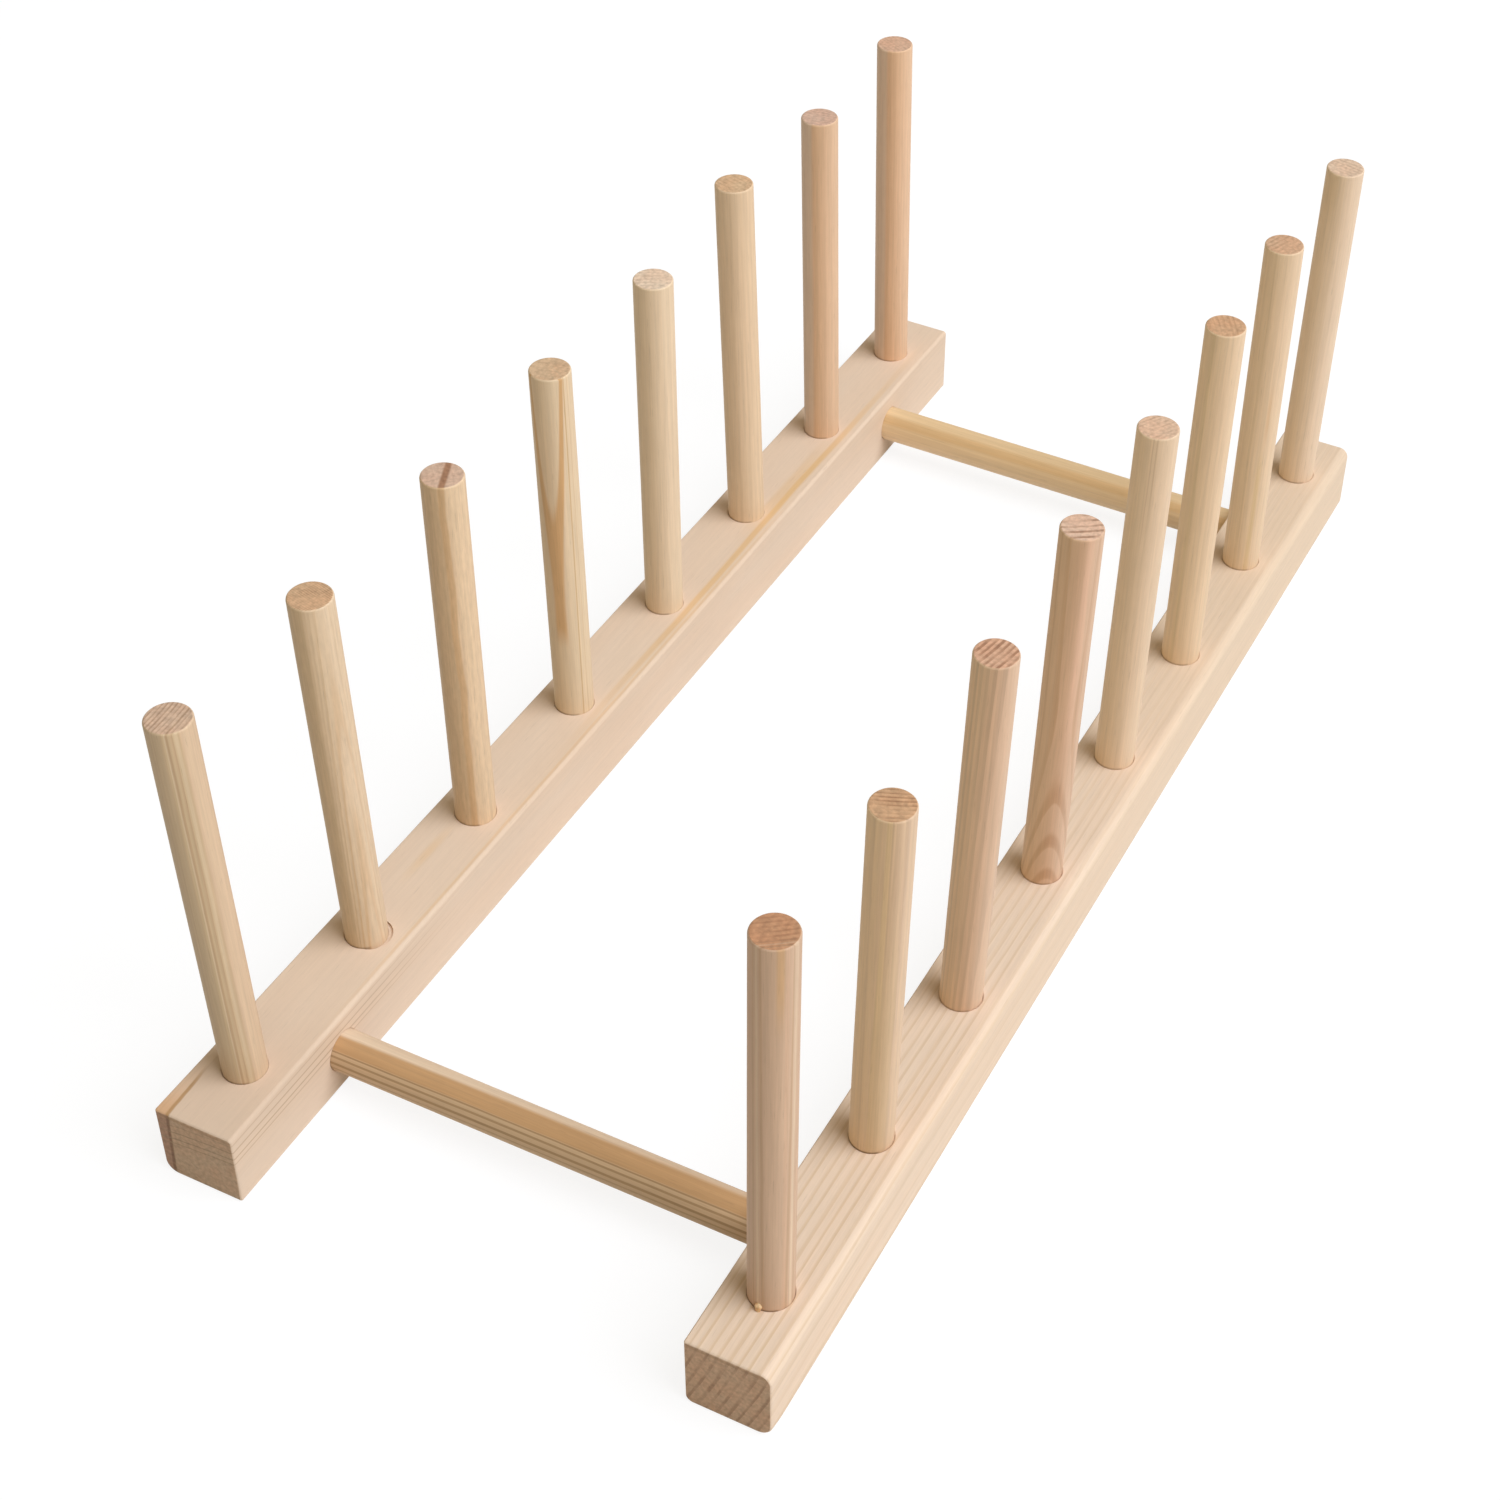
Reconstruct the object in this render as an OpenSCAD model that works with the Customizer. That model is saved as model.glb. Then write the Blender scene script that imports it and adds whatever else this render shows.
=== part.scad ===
// Drying rack in pale pine, for plates, lids and cutlery trays.
// Two square rails lie on the table and each holds a row of upright pegs. A round bar
// across the first bay and another across the last bay tie the rails together.
// Millimetres. X runs across the rack, Y along the rails from front to back, Z up.
// The origin is the middle of the rack's outline, on the surface that it stands on.

/* [Rails] */
// Width of a rail, across the rack
rail_width = 19; // [17:0.5:26]
// Height of a rail
rail_height = 19; // [17:0.5:26]
// Distance between the middles of the two rails
rail_spacing = 124; // [70:1:200]
// Length of rail beyond the last peg of a row, at each end
end_margin = 17.75; // [11:0.25:40]
// Edge roundings of the left rail: outer top, inner top, inner bottom, outer bottom
left_edges = [0.4, 0.9, 0.4, 3]; // [0.2:0.1:3.5]
// Edge roundings of the right rail: outer top, inner top, inner bottom, outer bottom
right_edges = [2.5, 0.4, 1.6, 1.8]; // [0.2:0.1:3.5]

/* [Pegs] */
// Distance between neighbouring pegs of a row
peg_pitch = 43.5; // [32:0.5:60]
// Diameter of a peg
peg_diameter = 9.5; // [8:0.5:12]
// Height of a peg above its rail
peg_height = 97; // [50:1:160]
// Depth to which a peg is let into its rail
peg_depth = 13; // [8:0.5:13]

/* [Bars] */
// Diameter of a bar
bar_diameter = 9.5; // [8:0.5:12]
// Depth to which a bar is let into each rail
bar_depth = 12; // [6:0.5:14]
// Distance from the middle of the end bay to the bar, towards the end of the rack
bar_shift = 2; // [0:0.5:2.5]

/* [Fit and finish] */
// Glue gap round a peg or bar in its hole, on the radius
glue_gap = 0.1; // [0.05:0.05:0.25]
// Chamfer on the ends of pegs and bars
end_chamfer = 0.5; // [0.2:0.1:1.2]
// Unevenness of the hand assembly: 0 is a perfect rack, 1 is the rack as it is
unevenness = 1; // [0:0.1:1]

/* [Hidden] */
$fn = 64;

// Which side of the rack a rail or a peg is on
left = -1;
right = 1;

// Pegs of a row are numbered from the front
pegs_per_rail = 8;
rail_length = (pegs_per_rail - 1) * peg_pitch + 2 * end_margin;
rail_middle = rail_spacing / 2;
first_peg_y = end_margin - rail_length / 2;
peg_length = peg_depth + peg_height;

// The bars lie at half the rails' height, in the first and in the last bay
bar_z = rail_height / 2;
bar_y = -(first_peg_y + peg_pitch / 2 - bar_shift);
bar_length = rail_spacing - rail_width + 2 * bar_depth;

// A hole's tool starts this far outside the wood, so that its mouth is cut clean
overrun = 1;

// The hand assembly, one value per peg from the front: how far the peg stands above the
// common height in millimetres, and how far it leans in degrees
left_proud = [0, -1, -0.5, 0, -0.5, 2, -0.5, 0.5];
right_proud = [1.5, -2, 0.5, 1, -0.5, 0.5, -1, -1.5];
left_lean_outward = [1, 0.5, 0, 0.5, 0, 1.5, 1, 1];
right_lean_outward = [0, 1.5, 1.5, 1, 1, 0.5, 0, 0.5];
left_lean_back = [-0.5, -1, 0, 0, 0, 0, 0, 0];
right_lean_back = [1, -0.5, 0.5, 1, 0.5, 0.5, 0, 0];

// Colours of the wood
pale_pine = [0.90, 0.79, 0.65];
rosy_pine = [0.88, 0.72, 0.58];
golden_pine = [0.88, 0.74, 0.53];

function proud(side, i) = unevenness * (side == left ? left_proud[i] : right_proud[i]);
function lean_outward(side, i) =
    unevenness * (side == left ? left_lean_outward[i] : right_lean_outward[i]);
function lean_back(side, i) =
    unevenness * (side == left ? left_lean_back[i] : right_lean_back[i]);
function peg_y(i) = first_peg_y + i * peg_pitch;

// A peg that stands proud sits in a hole that is as much shallower
function hole_depth(side, i) = peg_depth - proud(side, i);

// A round stick from z = 0 upwards, chamfered at both ends
module stick(diameter, length) {
    r = diameter / 2;
    rotate_extrude()
        polygon([
            [0, 0], [r - end_chamfer, 0], [r, end_chamfer],
            [r, length - end_chamfer], [r - end_chamfer, length], [0, length]
        ]);
}

// Puts its children at the mouth of a peg's hole, leaning as that peg does
module at_peg(side, i) {
    translate([side * rail_middle, peg_y(i), rail_height])
        rotate([-lean_back(side, i), side * lean_outward(side, i), 0])
            children();
}

// Puts its children on a bar's axis, at the inner face of one rail, pointing into that rail
module at_bar(side, end) {
    translate([side * (rail_middle - rail_width / 2), end * bar_y, bar_z])
        rotate([0, side * 90, 0])
            children();
}

// What a rounding takes off the corner of a section, with the corner at the origin;
// toward is [1 or -1, 1 or -1], the way in which the corner points
module corner_waste(toward, radius) {
    difference() {
        square(2 * radius, center = true);
        translate(-radius * toward) circle(radius);
    }
}

// Cross-section of a rail, with its foot on y = 0
module rail_section(side, edges) {
    corners = [[side, 1], [-side, 1], [-side, -1], [side, -1]];
    difference() {
        translate([-rail_width / 2, 0]) square([rail_width, rail_height]);
        for (k = [0 : 3])
            translate([corners[k][0] * rail_width / 2, corners[k][1] > 0 ? rail_height : 0])
                corner_waste(corners[k], edges[k]);
    }
}

// A rail with a blind hole for each of its pegs and for the end of each bar
module rail(side, edges) {
    difference() {
        translate([side * rail_middle, rail_length / 2, 0])
            rotate([90, 0, 0])
                linear_extrude(rail_length)
                    rail_section(side, edges);
        for (i = [0 : pegs_per_rail - 1])
            at_peg(side, i)
                translate([0, 0, -hole_depth(side, i)])
                    cylinder(d = peg_diameter + 2 * glue_gap, h = hole_depth(side, i) + overrun);
        for (end = [-1, 1])
            at_bar(side, end)
                translate([0, 0, -overrun])
                    cylinder(d = bar_diameter + 2 * glue_gap, h = bar_depth + overrun);
    }
}

module left_rail() {
    color(pale_pine) rail(left, left_edges);
}

module right_rail() {
    color(pale_pine) rail(right, right_edges);
}

// A peg standing on the floor of its hole
module peg(side, i) {
    at_peg(side, i)
        translate([0, 0, -hole_depth(side, i)])
            stick(peg_diameter, peg_length);
}

// A bar between the floors of its two holes
module bar(end) {
    at_bar(right, end)
        translate([0, 0, bar_depth - bar_length])
            stick(bar_diameter, bar_length);
}

module front_bar() {
    color(golden_pine) bar(-1);
}

module rear_bar() {
    color(golden_pine) bar(1);
}

module left_peg(number) {
    color(number > 6 ? rosy_pine : pale_pine) peg(left, number - 1);
}

module right_peg(number) {
    color(number == 1 || number == 3 || number == 4 ? rosy_pine : pale_pine) peg(right, number - 1);
}

left_rail();
right_rail();
front_bar();
rear_bar();
left_peg(1);  // left_peg_1
left_peg(2);  // left_peg_2
left_peg(3);  // left_peg_3
left_peg(4);  // left_peg_4
left_peg(5);  // left_peg_5
left_peg(6);  // left_peg_6
left_peg(7);  // left_peg_7
left_peg(8);  // left_peg_8
right_peg(1);  // right_peg_1
right_peg(2);  // right_peg_2
right_peg(3);  // right_peg_3
right_peg(4);  // right_peg_4
right_peg(5);  // right_peg_5
right_peg(6);  // right_peg_6
right_peg(7);  // right_peg_7
right_peg(8);  // right_peg_8
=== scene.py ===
# %% [markdown]
# # A plate and lid rack in pale pine
#
# The rack has two square rails that lie on the table, eight round pegs standing in each
# rail, and two round bars that tie the rails together. All of it is unfinished pine, so
# nearly everything that makes it look real is in the wood: the growth rings, the way they
# run through each stick, the browner end grain, and the small faults of hand assembly.
#
# The imported model is the frame that everything is built around. Its nodes give each
# stick's place and size.

# %% Load the imported model
import math

import bmesh
import bpy
import numpy as np
from mathutils import Matrix, Vector


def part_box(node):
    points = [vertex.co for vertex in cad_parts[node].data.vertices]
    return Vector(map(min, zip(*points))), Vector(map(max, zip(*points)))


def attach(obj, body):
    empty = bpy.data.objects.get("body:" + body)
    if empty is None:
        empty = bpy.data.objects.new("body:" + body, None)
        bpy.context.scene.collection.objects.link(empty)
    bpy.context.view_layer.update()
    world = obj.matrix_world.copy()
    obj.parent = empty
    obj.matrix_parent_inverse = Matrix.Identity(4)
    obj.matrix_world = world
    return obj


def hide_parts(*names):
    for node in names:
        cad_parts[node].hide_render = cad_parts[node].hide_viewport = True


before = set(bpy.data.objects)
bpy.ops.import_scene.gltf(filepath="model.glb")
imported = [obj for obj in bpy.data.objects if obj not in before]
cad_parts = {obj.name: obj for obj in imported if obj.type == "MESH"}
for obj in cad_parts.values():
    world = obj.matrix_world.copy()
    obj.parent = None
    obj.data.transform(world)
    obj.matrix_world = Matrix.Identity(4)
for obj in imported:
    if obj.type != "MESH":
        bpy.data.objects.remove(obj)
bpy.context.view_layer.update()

MM = 0.001
print("packed nodes:", len(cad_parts))

# %% [markdown]
# ## Where the sticks are
#
# A peg of the real rack rarely stands quite upright, and the model follows that. Its
# axis could be typed in again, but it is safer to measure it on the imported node: the
# points of a round stick spread most along its axis, so the first principal direction
# of the points is the axis, and their extent along it gives the two ends. The same
# points give the radius.

# %% Measure a stick's axis on its node
def measure_stick(node):
    """Gives the middle of a stick's lower end, its direction, its length and its radius."""
    points = np.array([vertex.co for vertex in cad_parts[node].data.vertices])
    points = np.unique(points.round(7), axis=0)
    middle = points.mean(axis=0)
    direction = np.linalg.svd(points - middle, full_matrices=False)[2][0]
    if direction[np.argmax(np.abs(direction))] < 0:
        direction = -direction
    along = (points - middle) @ direction
    away = np.linalg.norm((points - middle) - np.outer(along, direction), axis=1)
    foot = middle + direction * along.min()
    return Vector(foot), Vector(direction), float(np.ptp(along)), float(away.max())


for node in ("left_peg_1", "right_peg_2", "front_bar"):
    foot, direction, length, radius = measure_stick(node)
    lean = math.degrees(direction.angle(Vector((0, 0, 1))))
    print(f"{node}: length {length / MM:.2f}, radius {radius / MM:.2f}, {lean:.2f} degrees off upright")

# %% [markdown]
# ## The camera
#
# The photograph was taken from the front right corner, a little under half a metre
# above the table and quite close, so the near pegs look much larger than the far ones.
# A long lens set further back would flatten that, so the camera stands where the
# photographer stood. A small shift of the lens stands for the crop of the photograph.

# %% Place the camera
HEADING = math.radians(23.68)
LOOKING_DOWN = math.radians(39.64)
ROLL = math.radians(2.80)

camera_data = bpy.data.cameras.new("camera")
camera_data.sensor_width = 36.0
camera_data.lens = 63.66
camera_data.shift_x = -0.1233
camera_data.shift_y = -0.0767
camera_data.clip_start = 0.01
camera = bpy.data.objects.new("camera", camera_data)
camera.location = (0.2114, -0.4294, 0.4460)
turn = Matrix.Rotation(HEADING, 3, "Z")
tilt = Matrix.Rotation(math.pi / 2 - LOOKING_DOWN, 3, "X")
camera.rotation_euler = (turn @ tilt @ Matrix.Rotation(ROLL, 3, "Z")).to_euler()
bpy.context.scene.collection.objects.link(camera)
bpy.context.scene.camera = camera
print("camera to the middle of the rack:", round(camera.location.length, 3), "m")

# %% [markdown]
# ## Small tools for wiring nodes
#
# Wood needs a good many shader nodes, and each would take four or five lines. These
# helpers keep the recipes short enough to read. Every one adds a node or two and gives
# back its output. Lengths inside the shaders are in millimetres, because growth rings
# and fibres are easiest to think of in millimetres.

# %% Helpers for sums on numbers and vectors
def feed(tree, socket, given):
    """Links another node's output into a socket, or sets the socket to a plain value."""
    if isinstance(given, bpy.types.NodeSocket):
        tree.links.new(given, socket)
    else:
        socket.default_value = given


def reckon(tree, operation, *given, kind="ShaderNodeMath"):
    """One sum, such as SQRT or MAXIMUM."""
    node = tree.nodes.new(kind)
    node.operation = operation
    for socket, one in zip(node.inputs, given):
        feed(tree, socket, one)
    return node.outputs["Value" if operation == "DOT_PRODUCT" else 0]


def plus(tree, first, second):
    return reckon(tree, "ADD", first, second)


def minus(tree, first, second):
    return reckon(tree, "SUBTRACT", first, second)


def times(tree, first, second):
    return reckon(tree, "MULTIPLY", first, second)


def reach_along(tree, vector, direction):
    """How far a vector reaches in a direction."""
    return reckon(tree, "DOT_PRODUCT", vector, direction, kind="ShaderNodeVectorMath")


def split(tree, vector):
    """The X, Y and Z of a vector."""
    node = tree.nodes.new("ShaderNodeSeparateXYZ")
    feed(tree, node.inputs[0], vector)
    return node.outputs


def join(tree, **parts):
    """A vector put together from its X, Y and Z."""
    node = tree.nodes.new("ShaderNodeCombineXYZ")
    for axis, one in parts.items():
        feed(tree, node.inputs[axis], one)
    return node.outputs["Vector"]


print("sums are ready")

# %% [markdown]
# ## Steps, clouds and groups
#
# Three more things turn up everywhere: a smooth step from one value to another, smooth
# noise that is stretched along the grain, and a mix of two colours. What every stick
# needs in the same way, such as the rings, goes into a node group, which is built once
# and used in each material.

# %% Helpers for steps, noise and colours
def ease(tree, value, start, end, low=0.0, high=1.0):
    """A smooth step from low, where the value is start, to high, where it is end."""
    node = tree.nodes.new("ShaderNodeMapRange")
    node.interpolation_type = "SMOOTHSTEP"
    for name, one in zip(("Value", "From Min", "From Max", "To Min", "To Max"),
                         (value, start, end, low, high)):
        feed(tree, node.inputs[name], one)
    return node.outputs["Result"]


def window(tree, value, start, end, soft):
    """1 where the value lies between start and end, 0 outside, with soft edges."""
    rise = ease(tree, value, start - soft / 2, start + soft / 2)
    fall = ease(tree, value, end + soft / 2, end - soft / 2)
    return times(tree, rise, fall)


def cloud(tree, place, waves_per_mm, seed, detail=1.0):
    """Smooth noise about 0, mostly between -0.5 and 0.5, stretched as waves_per_mm says."""
    node = tree.nodes.new("ShaderNodeTexNoise")
    node.noise_dimensions = "4D"
    stretched = reckon(tree, "MULTIPLY", place, waves_per_mm, kind="ShaderNodeVectorMath")
    feed(tree, node.inputs["Vector"], stretched)
    feed(tree, node.inputs["W"], seed)
    node.inputs["Scale"].default_value = 1.0
    node.inputs["Detail"].default_value = detail
    return times(tree, minus(tree, node.outputs["Fac"], 0.5), 2.0)


def blend_colours(tree, share, first, second):
    """The first colour, with the second mixed in by the share."""
    node = tree.nodes.new("ShaderNodeMix")
    node.data_type = "RGBA"
    feed(tree, node.inputs[0], share)
    for socket, one in ((node.inputs[6], first), (node.inputs[7], second)):
        feed(tree, socket, one if isinstance(one, bpy.types.NodeSocket) else (*one, 1.0))
    return node.outputs[2]


print("steps, clouds and colours are ready")

# %% Helpers for groups and materials
def new_group(name, numbers, results):
    """A group that takes a place and some numbers, with its inner inputs and outputs."""
    tree = bpy.data.node_groups.new(name, "ShaderNodeTree")
    tree.interface.new_socket("place", in_out="INPUT", socket_type="NodeSocketVector")
    for label in numbers:
        tree.interface.new_socket(label, in_out="INPUT", socket_type="NodeSocketFloat")
    for label in results:
        tree.interface.new_socket(label, in_out="OUTPUT", socket_type="NodeSocketFloat")
    given = tree.nodes.new("NodeGroupInput").outputs
    return tree, given, tree.nodes.new("NodeGroupOutput").inputs


def use_group(tree, group, **given):
    """Puts a group into a material, feeds it and gives back its outputs."""
    node = tree.nodes.new("ShaderNodeGroup")
    node.node_tree = group
    for label, one in given.items():
        feed(tree, node.inputs[label], one)
    return node.outputs


def new_material(name):
    """A new material, with its node tree and its shader."""
    material = bpy.data.materials.new(name)
    material.use_nodes = True
    return material, material.node_tree, material.node_tree.nodes["Principled BSDF"]


print("group helpers are ready")

# %% [markdown]
# ## Growth rings
#
# A tree grows as nested cones. A stick sawn or turned from it cuts through them, and
# that one solid pattern gives straight stripes on one side, broad flames on the other,
# and arcs on the end. A picture wrapped round the stick could never agree with itself
# at the edges, so the rings are worked out in space instead.
#
# The depth is how far a point lies from the stick's middle, measured straight out from
# the heart of the tree. Facing is the direction in which the rings look, and pith is the
# distance to the heart. A slope turns stripes into long vees, and a swell near the foot,
# as beside a knot, closes them into arches. The rings also wave slowly, and tremble a
# little.

# %% Work out a point's depth in the tree
# What each stick may say of its rings, and what holds if it doesn't
RING_HABITS = dict(facing=0.0, pith=60.0, slope=0.0, swell=0.0, swell_top=0.0, wave=0.4,
                   gap=1.2, first_ring=0.0, late_share=0.4, late_softness=0.22, uneven=0.5,
                   seed=0.0)
SLOW_WAVE = (0.05, 0.05, 0.022)
TREMBLE = (0.5, 0.5, 0.09)
TREMBLE_SHARE = 0.22


def ring_depth(tree, given):
    """Depth of a point in mm, growing outwards from the heart, about 0 in the middle."""
    turned = tree.nodes.new("ShaderNodeVectorRotate")
    turned.rotation_type = "Z_AXIS"
    feed(tree, turned.inputs["Vector"], given["place"])
    feed(tree, turned.inputs["Angle"], times(tree, given["facing"], -1.0))
    here = split(tree, turned.outputs["Vector"])
    outward = plus(tree, here["X"], given["pith"])
    squares = plus(tree, times(tree, outward, outward), times(tree, here["Y"], here["Y"]))
    from_middle = minus(tree, reckon(tree, "SQRT", squares), given["pith"])
    below = reckon(tree, "MAXIMUM", minus(tree, given["swell_top"], here["Z"]), 0.0)
    swelling = times(tree, times(tree, below, below), given["swell"])
    lean = times(tree, here["Z"], given["slope"])
    broad = cloud(tree, given["place"], SLOW_WAVE, given["seed"])
    tremble = cloud(tree, given["place"], TREMBLE, given["seed"])
    shaken = plus(tree, broad, times(tree, tremble, TREMBLE_SHARE))
    depth = plus(tree, from_middle, plus(tree, swelling, lean))
    return plus(tree, depth, times(tree, shaken, given["wave"]))


print("things that a stick may say of its rings:", len(RING_HABITS))

# %% [markdown]
# ## Early and late wood
#
# Each ring runs from pale early wood to darker late wood and ends sharply. Dividing the
# depth by the gap counts the rings, and the fraction says how far a point lies in its
# own ring. No two rings are equally dark, and good and bad years make some wider than
# others, so noise by ring number is added to both.

# %% Build the growth ring group
GOOD_AND_BAD_YEARS = (0.45, 0.0, 0.0)
# Where in a ring the counting starts: the first ring's depth is where its late wood ends
COUNT_FROM = 0.95
SHARP_END = 0.94
FAINTEST_RING = 0.45


def late_wood_share(tree, given, depth):
    """0 in the early wood, and up to 1 in the late wood of the strongest rings."""
    counted = reckon(tree, "DIVIDE", minus(tree, depth, given["first_ring"]), given["gap"])
    years = cloud(tree, join(tree, X=counted), GOOD_AND_BAD_YEARS, given["seed"])
    counted = plus(tree, counted, times(tree, years, given["uneven"]))
    counted = plus(tree, counted, COUNT_FROM)
    grown = reckon(tree, "FRACT", counted)
    late_starts = minus(tree, 1.0, given["late_share"])
    gathering = ease(tree, grown, minus(tree, late_starts, given["late_softness"]),
                     plus(tree, late_starts, given["late_softness"]))
    ending = ease(tree, grown, 1.0, SHARP_END)
    one_ring = tree.nodes.new("ShaderNodeTexWhiteNoise")
    one_ring.noise_dimensions = "2D"
    label = join(tree, X=reckon(tree, "FLOOR", counted), Y=given["seed"])
    feed(tree, one_ring.inputs["Vector"], label)
    strength = ease(tree, one_ring.outputs["Value"], 0.0, 1.0, FAINTEST_RING, 1.0)
    return times(tree, times(tree, gathering, ending), strength)


growth_rings, given, result = new_group("growth_rings", RING_HABITS, ("depth", "late_wood"))
depth = ring_depth(growth_rings, given)
feed(growth_rings, result["depth"], depth)
feed(growth_rings, result["late_wood"], late_wood_share(growth_rings, given, depth))
print("growth ring group:", len(growth_rings.nodes), "nodes")

# %% [markdown]
# ## Fibres, resin canals and blotches
#
# Between the rings, planed pine shows fine fibres a fraction of a millimetre wide and
# a few centimetres long, thin dark dashes where resin canals are cut open, and a slow
# drift between creamier and rosier wood. Each is noise, stretched along the grain by a
# different amount. On a sawn end none of these can be seen lengthwise: the cut pores
# make a fine speckle instead.

# %% Build the fibre group
FINE_FIBRES = (3.2, 3.2, 0.07)
COARSE_FIBRES = (1.1, 1.1, 0.03)
CANALS = (4.0, 4.0, 0.22)
SLOW_DRIFT = (0.12, 0.12, 0.018)
CUT_PORES = (1.1, 1.1, 0.5)


def build_fibres():
    results = ("fibre", "canals", "drift", "speckle")
    tree, given, result = new_group("fibres", ("seed",), results)
    place, seed = given["place"], given["seed"]
    fine = times(tree, cloud(tree, place, FINE_FIBRES, seed, 2.0), 0.6)
    coarse = times(tree, cloud(tree, place, COARSE_FIBRES, seed), 0.5)
    feed(tree, result["fibre"], plus(tree, fine, coarse))
    feed(tree, result["canals"], ease(tree, cloud(tree, place, CANALS, seed, 0.0), 0.42, 0.62))
    feed(tree, result["drift"], cloud(tree, place, SLOW_DRIFT, seed))
    feed(tree, result["speckle"], cloud(tree, place, CUT_PORES, seed, 3.0))
    return tree


fibres = build_fibres()
print("fibre group:", len(fibres.nodes), "nodes")

# %% [markdown]
# ## Stains
# Strips also carry painted light and shade: sides of pegs and of the rear bar painted paler or darker,
# and a painted shadow at each peg's foot.
#
# Stains are the few marks that a camera would pick out, such as an orange resin streak.
# A texture for each would be a lot of painting, and it would have to agree with itself
# round the edges. It is easier to say where in the wood the mark lies. A stain can be a
# shell between two ring depths, a flat slab through the wood, or a strip on the surface
# alone, and it can be kept to a stretch of the stick's height. Shells and slabs come out
# on the sawn ends too, as they should.
#
# The place is read from the piece's own coordinates, turned so that the grain runs
# along Z.

# %% Helpers for places and stains
ALONG_GRAIN = (0.0, 0.0, 1.0)


def wood_place(tree, grain="Z"):
    """Place in mm and facing of the surface, turned so that the grain runs along Z."""
    here = tree.nodes.new("ShaderNodeTexCoord").outputs
    place = reckon(tree, "SCALE", here["Object"], kind="ShaderNodeVectorMath")
    place.node.inputs["Scale"].default_value = 1 / MM
    if grain == "Z":
        return place, here["Normal"]
    swapped = []
    for vector in (place, here["Normal"]):
        parts = split(tree, vector)
        swapped.append(join(tree, X=parts["X"], Y=parts["Z"], Z=parts["Y"]))
    return swapped


def strip_share(tree, place, strip, turn, shake, soft):
    """1 on a strip of the surface, on the side that looks in a direction in degrees."""
    side, start, end = strip
    side = math.radians(side)
    outward = reach_along(tree, place, (math.cos(side), math.sin(side), 0.0))
    across = reach_along(tree, place, (-math.sin(side), math.cos(side), 0.0))
    inside = window(tree, plus(tree, across, shake), start, end, soft)
    return times(tree, inside, ease(tree, outward, -turn, turn))


def stain_share(tree, stain, place, depth):
    """How much of a stain's colour a point takes, from 0 to its amount."""
    soft = stain.get("soft", 0.3)
    shake = 0.0
    if "wander" in stain:
        waves = (0.0, 0.0, stain.get("shake", 0.05))
        shake = cloud(tree, place, waves, stain.get("seed", 1.0), 2.0)
        shake = times(tree, shake, stain["wander"])
    share = stain["amount"]
    if "ring" in stain:
        share = times(tree, share, window(tree, plus(tree, depth, shake), *stain["ring"], soft))
    if "slab" in stain:
        direction, start, end = stain["slab"]
        reach = plus(tree, reach_along(tree, place, direction), shake)
        share = times(tree, share, window(tree, reach, start, end, soft))
    if "height" in stain:
        height = reach_along(tree, place, ALONG_GRAIN)
        fade = stain.get("fade", 4.0)
        share = times(tree, share, window(tree, height, *stain["height"], fade))
    if "strip" in stain:
        turn = stain.get("turn", 0.5)
        share = times(tree, share, strip_share(tree, place, stain["strip"], turn, shake, soft))
    return share


print("stains are ready")

# %% [markdown]
# ## The colours of the sides and of the sawn ends
#
# Along the sides the wood goes from early to late wood with the rings, and drifts
# slowly towards a rosier colour. On some boards the rings fade along the length. A sawn
# end drinks in more dirt: it is browner, its rings stand out more, and both its colour
# and its rings are patchy. So the two have a colour of their own, and are mixed at the
# edge later.

# %% Colour the sides and the ends
# The colour of a sawn end's late wood and of its ruddier patches, as shares of its own
DARK_CUT = (0.58, 0.48, 0.42)
RUDDY_CUT = (1.04, 0.97, 0.94)
RUDDY_PATCHES = (0.20, 0.20, 0.05)
CLEAR_PATCHES = (0.22, 0.22, 0.05)
# Every cloud of noise has a seed of its own, so that no two of them agree
RUDDY_SEED = 40.0
CLEAR_SEED = 50.0
# How much of its strength the late wood keeps where a sawn end is least clear
LEAST_CLEAR = 0.25


def side_colour(tree, place, rings, hair, early, late, contrast, fading, drift, blush):
    """Early wood with its late wood and its slow drift of colour."""
    share = times(tree, rings["late_wood"], contrast)
    if fading:
        start, end, low = fading
        height = reach_along(tree, place, ALONG_GRAIN)
        share = times(tree, share, ease(tree, height, start, end, 1.0, low))
    colour = blend_colours(tree, share, early, late)
    return blend_colours(tree, ease(tree, hair["drift"], -0.5, 0.5, 0.0, drift), colour, blush)


def end_colour(tree, place, rings, cut, contrast, seed):
    """A sawn end's colour with its patches and its late wood."""
    dark, ruddy = [tuple(part * share for part, share in zip(cut, tint))
                   for tint in (DARK_CUT, RUDDY_CUT)]
    soaked = ease(tree, cloud(tree, place, RUDDY_PATCHES, seed + RUDDY_SEED), -0.4, 0.4)
    clear = cloud(tree, place, CLEAR_PATCHES, seed + CLEAR_SEED)
    clear = ease(tree, clear, -0.4, 0.3, LEAST_CLEAR, 1.0)
    lines = times(tree, ease(tree, rings["late_wood"], 0.0, 0.7), contrast)
    colour = blend_colours(tree, soaked, cut, ruddy)
    return blend_colours(tree, times(tree, lines, clear), colour, dark)


print("colours of sides and ends are ready")

# %% [markdown]
# ## Tone, gloss and relief
#
# Fibres and canals make the wood lighter and darker, not more colourful, so they act on
# the tone alone. Bare pine is matt. Late wood is harder and was polished a little by the
# planer, and a sawn end is rougher. The relief is only a few hundredths of a millimetre
# deep, but it breaks up the sheen in the way that planed wood does.

# %% Helpers for tone, gloss and relief
BLOTCHES = (1.6, 1.6, 0.35)
MATT = 0.66
LATE_WOOD_POLISH = 0.10
FIBRE_ROUGHNESS = 0.06
SAWN_ROUGHNESS = 0.14
RELIEF_STRENGTH = 0.35
RELIEF_DEPTH = 0.06 * MM


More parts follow.
